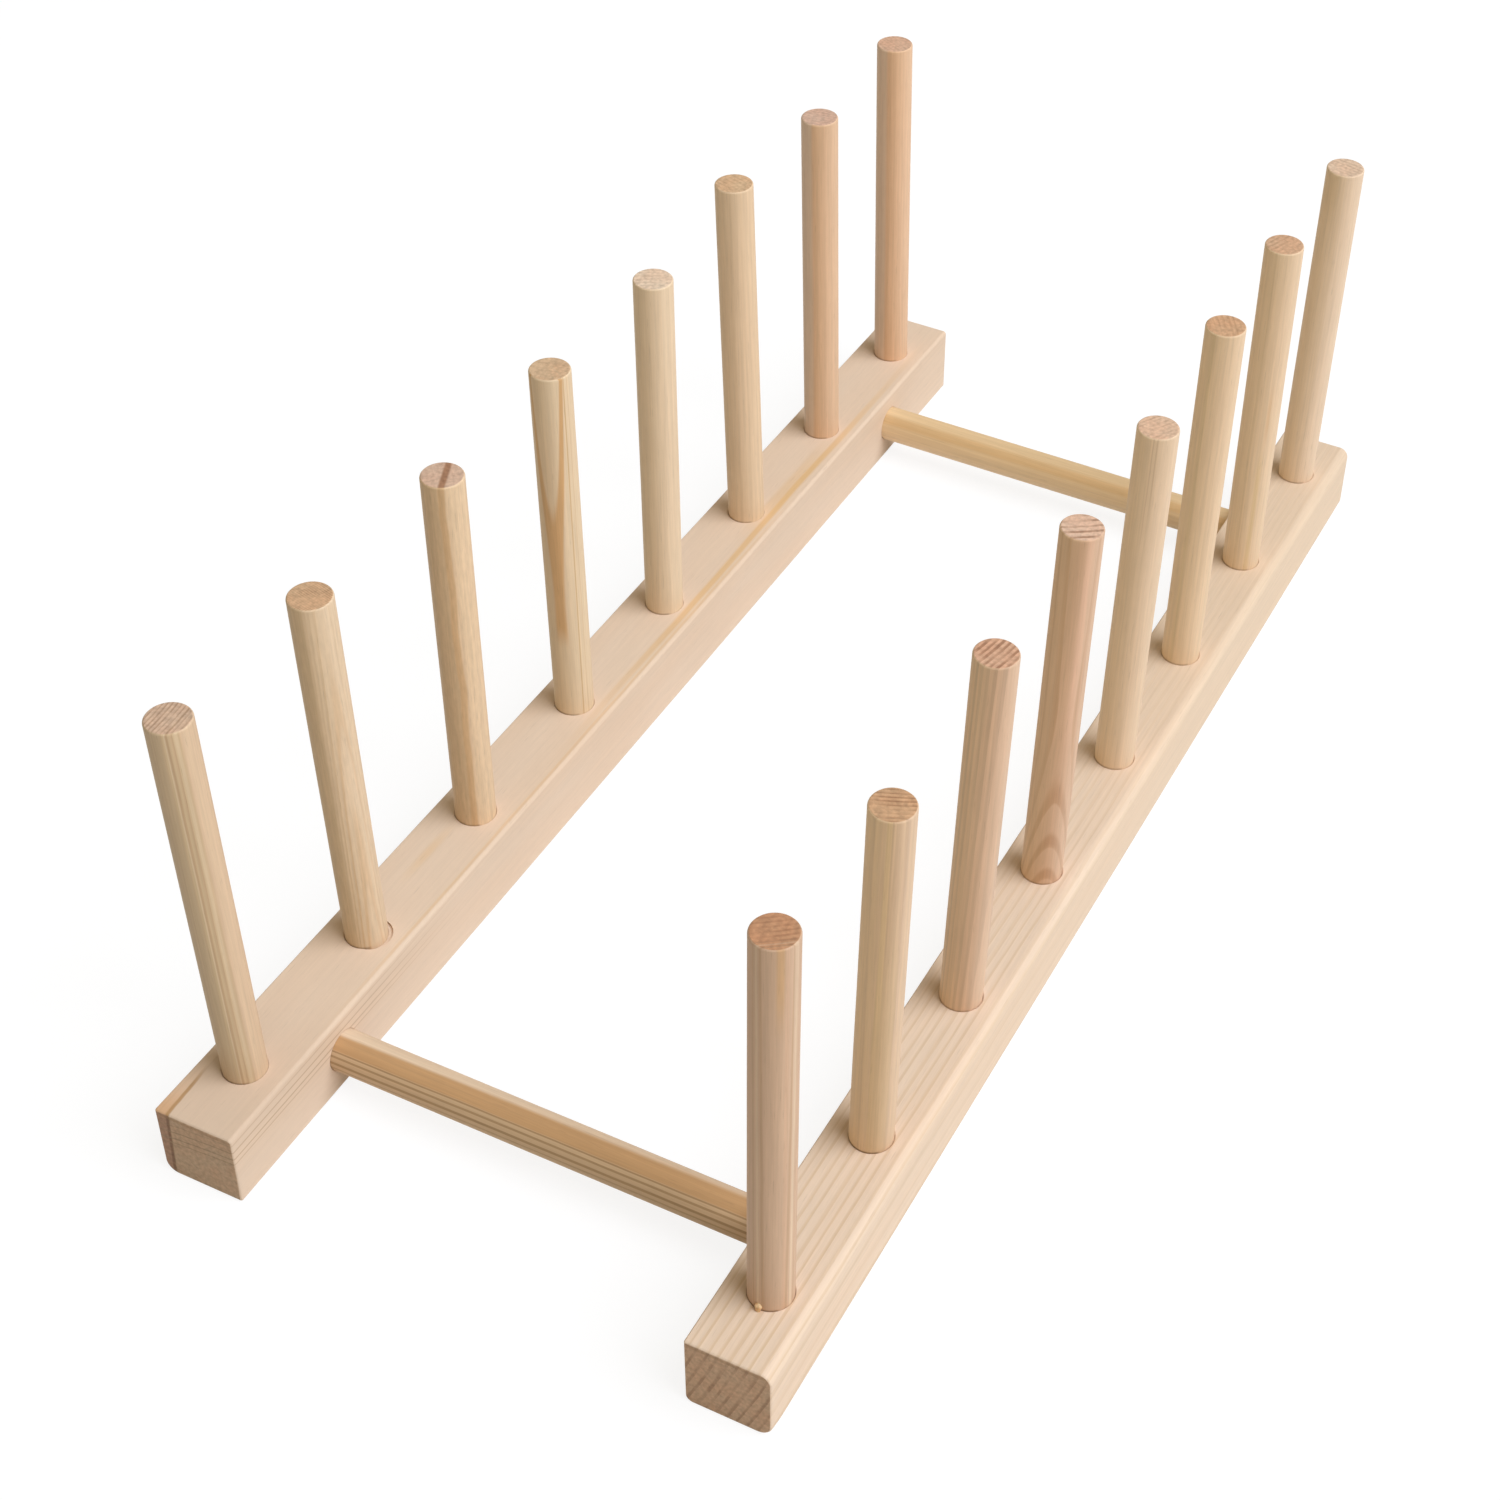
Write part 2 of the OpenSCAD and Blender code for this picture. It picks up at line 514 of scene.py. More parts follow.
def toned(tree, colour, value):
    """A colour made darker below a value of 1, and lighter above."""
    node = tree.nodes.new("ShaderNodeHueSaturation")
    feed(tree, node.inputs["Color"], colour)
    feed(tree, node.inputs["Value"], value)
    return node.outputs["Color"]


def roughness(tree, sawn, late_wood, fibre):
    """Matt wood, smoother where it is late wood, rougher on fibres and sawn ends."""
    smooth = minus(tree, MATT, times(tree, late_wood, LATE_WOOD_POLISH))
    smooth = plus(tree, smooth, times(tree, fibre, FIBRE_ROUGHNESS))
    return plus(tree, smooth, times(tree, sawn, SAWN_ROUGHNESS))


def raised(tree, height, strength, depth):
    """The direction of a surface with a relief of some depth in metres."""
    bump = tree.nodes.new("ShaderNodeBump")
    bump.inputs["Strength"].default_value = strength
    bump.inputs["Distance"].default_value = depth
    feed(tree, bump.inputs["Height"], height)
    return bump.outputs["Normal"]


def wood_relief(tree, sawn, late_wood, hair):
    """Ridges and canals along the sides, cut pores and ridges on the ends."""
    sides = plus(tree, times(tree, hair["fibre"], 0.7), times(tree, late_wood, 0.35))
    sides = minus(tree, sides, times(tree, hair["canals"], 0.5))
    ends = plus(tree, times(tree, hair["speckle"], 1.2), times(tree, late_wood, 0.6))
    height = tree.nodes.new("ShaderNodeMix")
    for socket, one in zip((0, 2, 3), (sawn, sides, ends)):
        feed(tree, height.inputs[socket], one)
    return raised(tree, height.outputs[0], RELIEF_STRENGTH, RELIEF_DEPTH)


print("tone, gloss and relief are ready")

# %% [markdown]
# ## One recipe for every stick
#
# The rails, pegs and bars come from different boards, but they are all the same kind of
# wood. So there is one function for the finish, and each stick gives it its own colours,
# ring direction, ring gap and so on. A surface counts as a sawn end where it faces along
# the grain.

# %% The finish of one stick of pine
# How squarely a surface faces along the grain where it starts to look sawn, and where it
# looks fully sawn
SAWN_FACING = (0.75, 0.95)
CANAL_DARKNESS = 0.10
SPECKLE = 0.48
SHEEN = 0.3
BLOTCH_SEED = 60.0


def pine(name, early, late, cut, grain="Z", seed=0.0, contrast=0.6, end_contrast=1.0,
         fading=None, hairy=0.2, mottle=0.03, drift=0.2, blush=(0.80, 0.55, 0.38), stains=(),
         **habits):
    """Unfinished pine: early and late are its colours, cut is the colour of its sawn end."""
    material, tree, shader = new_material(name)
    place, surface = wood_place(tree, grain)
    habits = {**RING_HABITS, **habits, "seed": seed}
    habits["facing"] = math.radians(habits["facing"])
    rings = use_group(tree, growth_rings, place=place, **habits)
    hair = use_group(tree, fibres, place=place, seed=seed)
    along = reckon(tree, "ABSOLUTE", reach_along(tree, surface, ALONG_GRAIN))
    sawn = ease(tree, along, *SAWN_FACING)

    side = side_colour(tree, place, rings, hair, early, late, contrast, fading, drift, blush)
    end_contrast *= min(1.0, 1.5 * contrast)
    end = end_colour(tree, place, rings, cut, end_contrast, seed)
    for stain in stains:
        share = stain_share(tree, stain, place, rings["depth"])
        if not stain.get("sawn_only"):
            side = blend_colours(tree, share, side, stain["colour"])
        if "ring" in stain or "slab" in stain:
            browner = stain.get("cut", tuple(0.7 * part for part in stain["colour"]))
            end = blend_colours(tree, share, end, browner)

    tone = plus(tree, times(tree, hair["fibre"], hairy), 1.0)
    blotches = cloud(tree, place, BLOTCHES, seed + BLOTCH_SEED, 2.0)
    tone = plus(tree, tone, times(tree, blotches, mottle))
    tone = minus(tree, tone, times(tree, hair["canals"], CANAL_DARKNESS))
    side = toned(tree, side, tone)
    end = toned(tree, end, plus(tree, times(tree, hair["speckle"], SPECKLE), 1.0))
    late_wood = rings["late_wood"]
    feed(tree, shader.inputs["Base Color"], blend_colours(tree, sawn, side, end))
    feed(tree, shader.inputs["Roughness"], roughness(tree, sawn, late_wood, hair["fibre"]))
    feed(tree, shader.inputs["Normal"], wood_relief(tree, sawn, late_wood, hair))
    shader.inputs["Specular IOR Level"].default_value = SHEEN
    return material


print("pine recipe is ready")

# %% [markdown]
# ## Meshes from rings of points
#
# Every stick is a row of point rings with faces between them: a rail's ring is its
# section, a peg's ring is a circle. One helper makes the faces, and another turns the
# mesh into an object. Ready-made boxes and cylinders would have sharp edges and dead
# straight sides, and these don't.

# %% Helpers for meshes
SHARP_ANGLE = math.radians(35)


def skin(mesh, rings):
    """Adds the faces between neighbouring rings, and one face at each end."""
    for ring, following in zip(rings, rings[1:]):
        for k, corner in enumerate(ring):
            after = (k + 1) % len(ring)
            mesh.faces.new((corner, ring[after], following[after], following[k]))
    mesh.faces.new(rings[0])
    mesh.faces.new(rings[-1])
    bmesh.ops.recalc_face_normals(mesh, faces=mesh.faces)


def shade(data):
    """Shades a mesh smooth, except where its faces meet at a sharp angle."""
    data.shade_smooth()
    data.set_sharp_from_angle(angle=SHARP_ANGLE)


def make_object(name, mesh, place):
    """Turns a bmesh into an object at its place."""
    data = bpy.data.meshes.new(name)
    mesh.to_mesh(data)
    mesh.free()
    shade(data)
    piece = bpy.data.objects.new(name, data)
    piece.matrix_world = place
    bpy.context.scene.collection.objects.link(piece)
    return piece


print("mesh helpers are ready")

# %% [markdown]
# ## The rails' section
#
# The rails are planed square strips. Each long edge was broken by hand with sandpaper,
# one more than another: the left rail is nearly square on top, the right one is well
# rounded along its outer edge. A plain box could not show that, so the section is drawn
# as a loop of points with its own rounding at every corner.

# %% Draw a rail's section
LEFT, RIGHT = -1, 1
NAMES = {LEFT: "left", RIGHT: "right"}
STEPS_PER_CORNER = 8
# Roundings in mm: outer top, inner top, inner bottom, outer bottom
ROUNDINGS = {LEFT: (0.4, 0.9, 0.4, 3.0), RIGHT: (2.5, 0.4, 1.6, 1.8)}


def section_loop(side, radii, width, height, shrink, breath):
    """Points round a rail's section, in metres, with the foot at height 0."""
    loop = []
    corners = ((1, 1), (-1, 1), (-1, -1), (1, -1))
    for quarter, ((across, up), radius) in enumerate(zip(corners, radii)):
        radius = radius * MM
        for step in range(STEPS_PER_CORNER + 1):
            angle = math.pi / 2 * (quarter + step / STEPS_PER_CORNER)
            sanded = breath * math.sin(math.pi * step / STEPS_PER_CORNER)
            reach = radius - shrink - sanded
            x = across * (width / 2 - radius) + reach * math.cos(angle)
            z = height / 2 + up * (height / 2 - radius) + reach * math.sin(angle)
            loop.append((side * x, z))
    return loop


print("points round a section:", 4 * (STEPS_PER_CORNER + 1))

# %% [markdown]
# ## Sweeping the rails
#
# The section is swept along the rail. It shrinks a little at the two ends, which breaks
# the sharp edge of the saw cut. Along the way the roundings breathe by a few hundredths
# of a millimetre, as sanded edges do, and the right rail's lower front corner is worn
# rounder than the rest.

# %% Sweep the rails
# Distance from a sawn end, and how much smaller the section is there, in mm
BROKEN_END = ((0.0, 0.42), (0.12, 0.20), (0.30, 0.06), (0.50, 0.0))
STATIONS = 40
BREATH = 0.03 * MM
# How much rounder the outer bottom corner is at the front end, and how soon that is over
WORN_CORNER = {LEFT: 0.0, RIGHT: 1.3}
WORN_LENGTH = 6.0


def sweep_rail(side):
    """A rail without its holes, round its own middle line."""
    low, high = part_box(NAMES[side] + "_rail")
    width, length, height = high - low
    far_end = length / MM
    stations = [*BROKEN_END]
    stations += [(WORN_LENGTH * part / 4, 0.0) for part in range(1, 5)]
    stations += [(far_end * part / STATIONS, 0.0) for part in range(1, STATIONS)]
    stations += [(far_end - where, shrink) for where, shrink in reversed(BROKEN_END)]
    mesh = bmesh.new()
    rings = []
    for where, shrink in stations:
        breath = BREATH * (1 + math.sin(where / 11.0 + side) * math.cos(where / 29.0))
        worn = WORN_CORNER[side] * max(0.0, 1 - where / WORN_LENGTH) ** 2
        radii = (*ROUNDINGS[side][:3], ROUNDINGS[side][3] + worn)
        loop = section_loop(side, radii, width, height, shrink * MM, breath)
        rings.append([mesh.verts.new((x, where * MM - length / 2, z)) for x, z in loop])
    skin(mesh, rings)
    middle = Vector(((low.x + high.x) / 2, (low.y + high.y) / 2, low.z))
    return make_object(NAMES[side] + "_rail_wood", mesh, Matrix.Translation(middle))


rails = {side: sweep_rail(side) for side in (LEFT, RIGHT)}
for side, rail in rails.items():
    print(rail.name, "before drilling:", len(rail.data.vertices), "points")

# %% [markdown]
# ## Turning round pieces
#
# Pegs, bars, and the drills that make their holes are all round, so one helper turns a
# profile into a solid, as on a lathe. The profile is a list of distances from the axis
# and heights. The flat ends are closed with one face each.

# %% A helper that turns a profile
ROUND_STEPS = 64


def turned_mesh(profile, flutter=0.0):
    """A solid of revolution about Z. Flutter takes up to that much off the radius, unevenly."""
    mesh = bmesh.new()
    rings = []
    for radius, height in profile:
        ring = []
        for k in range(ROUND_STEPS):
            angle = 2 * math.pi * k / ROUND_STEPS
            ripple = math.sin(3 * angle + height * 61.0) * math.cos(height * 143.0 + 2 * angle)
            reach = radius - flutter * (1 + ripple) / 2
            ring.append(mesh.verts.new((reach * math.cos(angle), reach * math.sin(angle), height)))
        rings.append(ring)
    skin(mesh, rings)
    return mesh


def standing_at(origin, direction):
    """The place of an object whose Z axis points along a direction."""
    turn_to = Vector((0, 0, 1)).rotation_difference(direction)
    return Matrix.Translation(origin) @ turn_to.to_matrix().to_4x4()


print("lathe is ready")

# %% [markdown]
# ## Drilling the rails
#
# Each peg stands in a blind hole, and each bar's end in another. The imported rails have
# those holes, and so do these. The drills are solids placed on the axes measured from
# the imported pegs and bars, a hair larger all round. A cone at the mouth breaks the edge
# of the hole, and gives each peg the thin dark line that it has at its foot. The cone
# goes on above the wood, so that no ring of its points lies in the rail's top, where it
# would leave slivers. Each drill cuts with an exact boolean, which is slow but clean, and
# all the cuts of a rail are made in one go.

# %% Helpers for drilling
DRILL_PLAY = 0.05 * MM
BROKEN_EDGE = 0.12 * MM
rail_low, rail_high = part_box("left_rail")
rail_top = rail_high.z
rail_width = rail_high.x - rail_low.x


def mouth_of(node):
    """Where a peg's axis passes the rail's top, its direction, lengths below and above, radius."""
    foot, direction, length, radius = measure_stick(node)
    below = (rail_top - foot.z) / direction.z
    return foot + direction * below, direction, below, length - below, radius


def drill(radius, depth, mouth, direction):
    """A drill that points down from the mouth of a hole."""
    wide = radius + 4 * BROKEN_EDGE
    profile = [(radius, -depth), (radius, -BROKEN_EDGE), (wide, 3 * BROKEN_EDGE), (wide, MM)]
    return make_object("drill", turned_mesh(profile), standing_at(mouth, direction))


def cut_away(piece, cutters):
    """Takes the cutters out of a piece with exact booleans, and removes them."""
    for cutter in cutters:
        cut = piece.modifiers.new("cut", "BOOLEAN")
        cut.operation = "DIFFERENCE"
        cut.solver = "EXACT"
        cut.object = cutter
    bpy.context.view_layer.update()
    finished = piece.evaluated_get(bpy.context.evaluated_depsgraph_get())
    data = bpy.data.meshes.new_from_object(finished)
    piece.modifiers.clear()
    piece.data = data
    for cutter in cutters:
        bpy.data.objects.remove(cutter)
    shade(data)


print("rail top at", round(rail_top / MM, 2), "mm, rail width", round(rail_width / MM, 2), "mm")

# %% [markdown]
# ## The holes and one chip
#
# One hole went wrong on the real rack: beside the second peg on the left the wood
# chipped out in a shallow crescent. A second cut, off centre and less than a millimetre
# deep, makes it.

# %% Drill the holes
CHIP_PLACE = Vector((1.0, 0.3, 0)) * MM
CHIP_DEPTH = 0.7 * MM
PEG_NUMBERS = range(1, 9)

for side, rail in rails.items():
    drills = []
    for number in PEG_NUMBERS:
        mouth, direction, below, above, radius = mouth_of(f"{NAMES[side]}_peg_{number}")
        drills.append(drill(radius + DRILL_PLAY, below, mouth, direction))
    inner_face = rail.location.x - side * rail_width / 2
    for bar in ("front_bar", "rear_bar"):
        foot, direction, length, radius = measure_stick(bar)
        mouth = Vector((inner_face, foot.y, foot.z))
        depth = length / 2 - abs(inner_face)
        drills.append(drill(radius + DRILL_PLAY, depth, mouth, Vector((-side, 0, 0))))
    if side == LEFT:
        mouth, direction, below, above, radius = mouth_of("left_peg_2")
        drills.append(drill(radius, CHIP_DEPTH, mouth + CHIP_PLACE, direction))
    cut_away(rail, drills)
    print(rail.name, "after drilling:", len(rail.data.vertices), "points")

# %% [markdown]
# ## The pegs and bars
#
# The pegs are machine-made dowels, cut to length and lightly tumbled, so their ends are
# flat with a soft chamfer. A cylinder would do for the shape alone, but turning a
# profile lets the chamfer be rounded over and the surface waver by a hundredth of a
# millimetre, which keeps the light on it from looking drawn with a ruler. Each peg's
# own origin is at the mouth of its hole, so that height 0 in its finish is the top of
# the rail.

# %% Turn the pegs and the bars
CHAMFER = 0.5 * MM
FLUTTER = 0.02 * MM
# The rounded-over chamfer: how far in from the side, and how far down from the end
ROUNDED_END = ((0.0, 0.50), (0.06, 0.28), (0.2, 0.10), (0.42, 0.0))
DOWEL_RINGS = 24


def dowel_mesh(radius, lower, upper):
    """A dowel from its lower to its upper end, with both ends rounded over."""
    start = [(radius - inward * MM, lower + down * MM) for inward, down in reversed(ROUNDED_END)]
    body = [(radius, lower + CHAMFER + (upper - lower - 2 * CHAMFER) * part / DOWEL_RINGS)
            for part in range(1, DOWEL_RINGS)]
    end = [(radius - inward * MM, upper - down * MM) for inward, down in ROUNDED_END]
    return turned_mesh(start + body + end, FLUTTER)


pegs = {}
for side in (LEFT, RIGHT):
    for number in PEG_NUMBERS:
        node = f"{NAMES[side]}_peg_{number}"
        mouth, direction, below, above, radius = mouth_of(node)
        mesh = dowel_mesh(radius, -below, above)
        pegs[node] = make_object(node + "_dowel", mesh, standing_at(mouth, direction))

bars = {}
for node in ("front_bar", "rear_bar"):
    foot, direction, length, radius = measure_stick(node)
    mesh = dowel_mesh(radius, -length / 2, length / 2)
    lying = Matrix(((0, 0, 1, 0), (1, 0, 0, foot.y), (0, 1, 0, foot.z), (0, 0, 0, 1)))
    bars[node] = make_object(node + "_dowel", mesh, lying)
print("pegs:", len(pegs), "bars:", len(bars))

# %% [markdown]
# ## A bead of glue
#
# The pegs are glued in. At the first peg on the right some glue was squeezed out at the
# front of the joint and dried there as a small amber bead with a short tail. A sphere
# would look like a pellet, so the bead is a fine sphere pulled out of round: flattened
# where it meets the rail, wrapped a little round the peg, and drawn out to one side.

# %% Shape the bead of glue
def bead_point(x, y, z):
    """Moves a point of a ball of radius 1 to its place on the bead, in mm."""
    lump = 1 + 0.10 * math.sin(3.1 * x + 1.0) * math.cos(2.7 * y) + 0.06 * math.sin(5.0 * z + 2 * x)
    tail = max(0.0, -z) ** 2
    across = 0.85 * x * lump * (1 - 0.35 * tail) + 0.20 * tail
    out = 0.65 * y * lump - 0.50 * tail
    up = 0.80 * z * lump + 1.05 - 0.90 * tail
    flat_foot = -0.08 + 0.03 * math.sin(4 * x)
    return Vector((across, out, max(up, flat_foot)))


def glue_bead():
    """The bead, just in front of the first right peg."""
    mouth, direction, below, above, radius = mouth_of("right_peg_1")
    mesh = bmesh.new()
    bmesh.ops.create_icosphere(mesh, subdivisions=4, radius=1.0)
    for point in mesh.verts:
        point.co = bead_point(*point.co) * MM
    bmesh.ops.recalc_face_normals(mesh, faces=mesh.faces)
    front = mouth + Vector((-0.2 * MM, -(radius + 0.05 * MM), 0.0))
    return make_object("glue_bead", mesh, Matrix.Translation(front))


bead = glue_bead()
print("bead of glue:", [round(size / MM, 2) for size in bead.dimensions], "mm")

# %% [markdown]
# ## The rails' wood
#
# The left rail was sawn so that its rings lie flat: its top shows almost no stripes, and
# its front end faint level lines, which run out along the inner side. Its front outer
# corner holds a wedge of darker wood from near the bark, behind a dark line, and an
# orange stripe comes up along the inner edge in the far half. The right rail was sawn
# the other way, with its rings nearly upright, so its top is striped. The stripes are
# boldest at the front and fade into yellower wood towards the back.
#
# Places on a rail are in millimetres: across the rail from its middle, height above its
# foot, and distance along it from its middle.

# %% Colours of the rails
rail_cream = (0.785, 0.617, 0.49)
rail_yellow = (0.71, 0.55, 0.40)
rail_stripe = (0.60, 0.41, 0.27)
rail_olive = (0.63, 0.445, 0.28)
left_end = (0.50, 0.35, 0.24)
right_end = (0.53, 0.36, 0.245)
resin_orange = (0.74, 0.46, 0.20)
wedge_orange = (0.62, 0.34, 0.16)
bark_brown = (0.45, 0.26, 0.12)
# The saw and the sandpaper left a darker line just under the top edge of each sawn end
edge_line = dict(colour=(0.36, 0.21, 0.12), cut=(0.36, 0.21, 0.12), amount=0.5,
                 slab=((0.0, 1.0, 0.0), 17.7, 18.5), soft=0.5, sawn_only=True)
print("rail colours are ready")

# %% Finish the left rail
WEDGE_FACES = (1.0, -0.055, 0.05)
WEDGE_EDGE = -15.7
wedge = dict(colour=wedge_orange, cut=(0.36, 0.20, 0.14), slab=(WEDGE_FACES, -60, WEDGE_EDGE),
             fade=9, soft=0.4)
resin = dict(colour=resin_orange, amount=0.35)
left_rail_stains = [
    dict(colour=(0.66, 0.50, 0.385), amount=0.6, strip=(90, -9.5, 7.0), height=(-200, -140),
         fade=30),
    dict(wedge, amount=0.6, height=(-200, -165)),
    dict(wedge, amount=0.3, height=(-200, -158)),
    dict(colour=bark_brown, cut=(0.22, 0.12, 0.07), amount=0.85,
         slab=(WEDGE_FACES, WEDGE_EDGE - 0.55, WEDGE_EDGE + 0.25), height=(-200, -158), fade=8,
         soft=0.4, wander=0.5, shake=0.12, seed=9.0),
    dict(resin, amount=0.65, strip=(90, -7.3, -5.6), height=(-10, 130), fade=80, soft=0.9,
         wander=0.8, shake=0.02, seed=4.0),
    dict(resin, strip=(90, -6.8, -2.8), height=(62, 98), fade=24, soft=1.6, wander=0.8,
         shake=0.03, seed=4.0),
    dict(resin, strip=(90, -8.6, -7.9), height=(-120, 60), fade=60, soft=0.5, wander=0.3,
         seed=6.0),
    dict(resin, strip=(90, 1.2, 3.2), height=(-88, -75), fade=14, soft=1.5),
    edge_line,
]
# Distance of each level line from the foot, and how strongly it shows
for line, amount in ((16.6, 0.5), (14.5, 0.85), (12.5, 0.9), (11.0, 0.7)):
    left_rail_stains.append(
        dict(colour=(0.56, 0.38, 0.25), cut=(0.34, 0.23, 0.15), amount=amount,
             ring=(line - 0.20, line + 0.16), height=(-200, -110), fade=70, soft=0.2))

rails[LEFT].data.materials.append(pine(
    "left_rail_pine", rail_cream, rail_stripe, left_end, grain="Y", facing=97, pith=140,
    gap=2.4, first_ring=10.6, wave=0.3, contrast=0.07, hairy=0.08, seed=3.0,
    stains=left_rail_stains))
print("left rail stains:", len(left_rail_stains))

# %% Finish the right rail
right_rail_stains = [
    dict(colour=rail_yellow, amount=0.5, height=(30, 200), fade=120),
    dict(colour=(0.74, 0.575, 0.43), cut=right_end, amount=0.45,
         slab=((1.0, 0.0, 0.0), 9.1, 12.0), height=(-100, 260), fade=200),
    edge_line,
]
rails[RIGHT].data.materials.append(pine(
    "right_rail_pine", rail_cream, rail_olive, right_end, grain="Y", facing=-23, pith=400,
    slope=-0.0065, gap=2.04, first_ring=0.86, late_share=0.3, late_softness=0.18, wave=0.5,
    contrast=0.7, end_contrast=0.75, fading=(-200, 100, 0.42), hairy=0.14, seed=8.0,
    stains=right_rail_stains))
print("right rail stains:", len(right_rail_stains))

# %% [markdown]
# ## The pegs' wood
#
# No two pegs match, and that is what makes the rack look real. Most are plain, pale
# beige. A few are rosier, the two far left ones most of all. The near ones can be seen
# well enough to tell how their rings lie, so each of these has its own ring direction,
# slope and gap, and its own streaks. Directions are in degrees round the peg: 0 looks to
# the right of the rack, -90 to its front. Heights are in millimetres above the rail.
#
# Every peg also has a painted shadow at its foot: a fine dark line on the side away from
# the light, where the contact shadow falls. Many pegs also have painted light and shade on
# their sides: paler towards the lamp, and lighter or darker on the side away from it.

# %% Colours of the pegs' streaks, and their painted light and shade
brown_line = (0.50, 0.31, 0.19)
red_line = (0.56, 0.31, 0.18)
orange_line = (0.66, 0.38, 0.17)
tan_line = (0.62, 0.44, 0.27)
olive_band = (0.60, 0.41, 0.215)
arch_line = dict(colour=(0.47, 0.24, 0.12), amount=0.75, height=(-5, 26), fade=14, soft=0.35)
vee_line = dict(colour=(0.63, 0.41, 0.21), cut=(0.64, 0.446, 0.29))
pale_line = dict(colour=(0.80, 0.63, 0.46), cut=(0.66, 0.47, 0.33))
# Painted shadow: a fine dark line at a peg's foot, on the side away from the lamp
painted_foot_shadow = dict(colour=(0.28, 0.16, 0.09), strip=(-135, -9, 9), height=(-20, 0.3), fade=0.35)
# Painted shade: the side away from the lamp painted darker and browner
painted_shade_side = dict(strip=(-165, -9, 9), turn=3.0)
# Painted fill light: the side away from the lamp painted paler
painted_fill_light = dict(colour=(1.0, 0.78, 0.52), amount=0.4, strip=(-170, -9, 9), turn=3.0)
# Painted fill light: the side away from the lamp painted paler
pale_painted_fill = dict(colour=(0.76, 0.60, 0.49), strip=(-179, -9, 9), soft=1.0)
# Painted light: the side towards the lamp painted paler and pinker
painted_lit_side = dict(colour=(0.80, 0.62, 0.50), amount=0.35, strip=(45, -9, 9), turn=3.0)
finishes = {}
print("streak colours are ready")

# %% The near pegs on the left
finishes["left_peg_1"] = dict(
    early=(0.64, 0.475, 0.30), late=brown_line, cut=(0.635, 0.455, 0.34), facing=5, gap=0.87,
    first_ring=2.38, contrast=0.45, wave=0.15, uneven=0.0, seed=11.0,
    stains=[dict(colour=brown_line, amount=0.55, ring=(2.25, 2.57), soft=0.15),
            dict(colour=brown_line, amount=0.35, ring=(4.05, 4.35), soft=0.3),
            dict(colour=brown_line, amount=0.3, ring=(3.12, 3.28), soft=0.12),
            dict(pale_line, amount=0.5, ring=(1.90, 2.12), soft=0.15),
            dict(pale_line, amount=0.3, ring=(3.45, 3.85), soft=0.2),
            # Painted light and shade: the side towards the lamp painted paler and peach, the side away
            # from it darker
            dict(colour=(0.78, 0.565, 0.407), amount=0.6, strip=(-4, -1.8, 9), soft=1.0),
            dict(colour=(0.53, 0.40, 0.28), amount=0.45, strip=(-160, -9, 9))])
finishes["left_peg_2"] = dict(
    early=(0.745, 0.563, 0.382), late=(0.62, 0.42, 0.23), cut=(0.645, 0.43, 0.27), facing=-26,
    gap=0.45, first_ring=0.465, slope=-0.01, contrast=0.7, wave=0.2, late_softness=0.3,
    uneven=0.0, mottle=0.10, seed=12.0,
    # Partly its brown patches, partly painted shade: the side away from the lamp darker and browner
    stains=[dict(colour=(0.60, 0.43, 0.26), amount=0.6, strip=(-164, -9, 9), soft=1.0),
            dict(colour=orange_line, amount=0.35, ring=(4.38, 4.56), soft=0.12),
            dict(colour=orange_line, amount=0.25, ring=(3.93, 4.10), soft=0.12),
            dict(painted_lit_side, colour=(0.84, 0.66, 0.50), amount=0.4)])
wavy_edge = dict(wander=1.2, shake=0.04, seed=2.0)
finishes["left_peg_3"] = dict(
    early=(0.80, 0.595, 0.40), late=brown_line, cut=(0.64, 0.45, 0.345), facing=40, gap=1.3,
    first_ring=1.0, contrast=0.12, wave=0.4, mottle=0.14, seed=13.0,
    stains=[dict(wavy_edge, colour=(0.58, 0.39, 0.22), amount=0.55, strip=(-56, -6.0, -0.2),
                 soft=0.8),
            dict(wavy_edge, colour=(0.67, 0.43, 0.235), cut=(0.30, 0.14, 0.07), amount=0.85,
                 slab=((0.92, 0.385, 0.0), 0.1, 1.5), soft=0.6)])
finishes["left_peg_4"] = dict(
    early=(0.805, 0.63, 0.44), late=brown_line, cut=(0.64, 0.446, 0.29), facing=-77, gap=0.95,
    first_ring=2.5, slope=0.034, swell=0.0006, swell_top=62.0, contrast=0.1, wave=0.08,
    seed=14.0,
    stains=[dict(vee_line, colour=orange_line, amount=0.9, ring=(6.2, 6.8), soft=0.25,
                 height=(24, 130), fade=8),
            dict(vee_line, amount=0.85, slab=((0.5, 0.866, -0.0077), -0.15, 0.15), soft=0.3),
            dict(vee_line, amount=0.35, slab=((0.208, 0.978, -0.003), -0.15, 0.15), soft=0.3),
            dict(painted_shade_side, colour=(0.66, 0.46, 0.27), amount=0.3)])
print("finishes so far:", len(finishes))

# %% The far pegs on the left
finishes["left_peg_5"] = dict(
    early=(0.84, 0.66, 0.475), late=tan_line, cut=(0.775, 0.61, 0.475), facing=120, gap=1.4,
    contrast=0.2, seed=15.0, stains=[dict(painted_shade_side, colour=(0.70, 0.51, 0.31), amount=0.35)])
finishes["left_peg_6"] = dict(
    early=(0.81, 0.605, 0.415), late=tan_line, cut=(0.67, 0.46, 0.29), facing=70, gap=1.2,
    contrast=0.25, seed=16.0, stains=[])
finishes["left_peg_7"] = dict(
    early=(0.76, 0.49, 0.305), late=red_line, cut=(0.65, 0.45, 0.355), facing=100, gap=1.2,
    contrast=0.15, seed=17.0, stains=[dict(pale_painted_fill, amount=0.65), dict(painted_lit_side, amount=0.2)])
finishes["left_peg_8"] = dict(
    early=(0.80, 0.50, 0.305), late=red_line, cut=(0.67, 0.437, 0.315), facing=60, gap=1.1,
    contrast=0.2, seed=18.0, stains=[dict(pale_painted_fill, amount=0.55), dict(painted_lit_side, amount=0.25)])
print("finishes so far:", len(finishes))
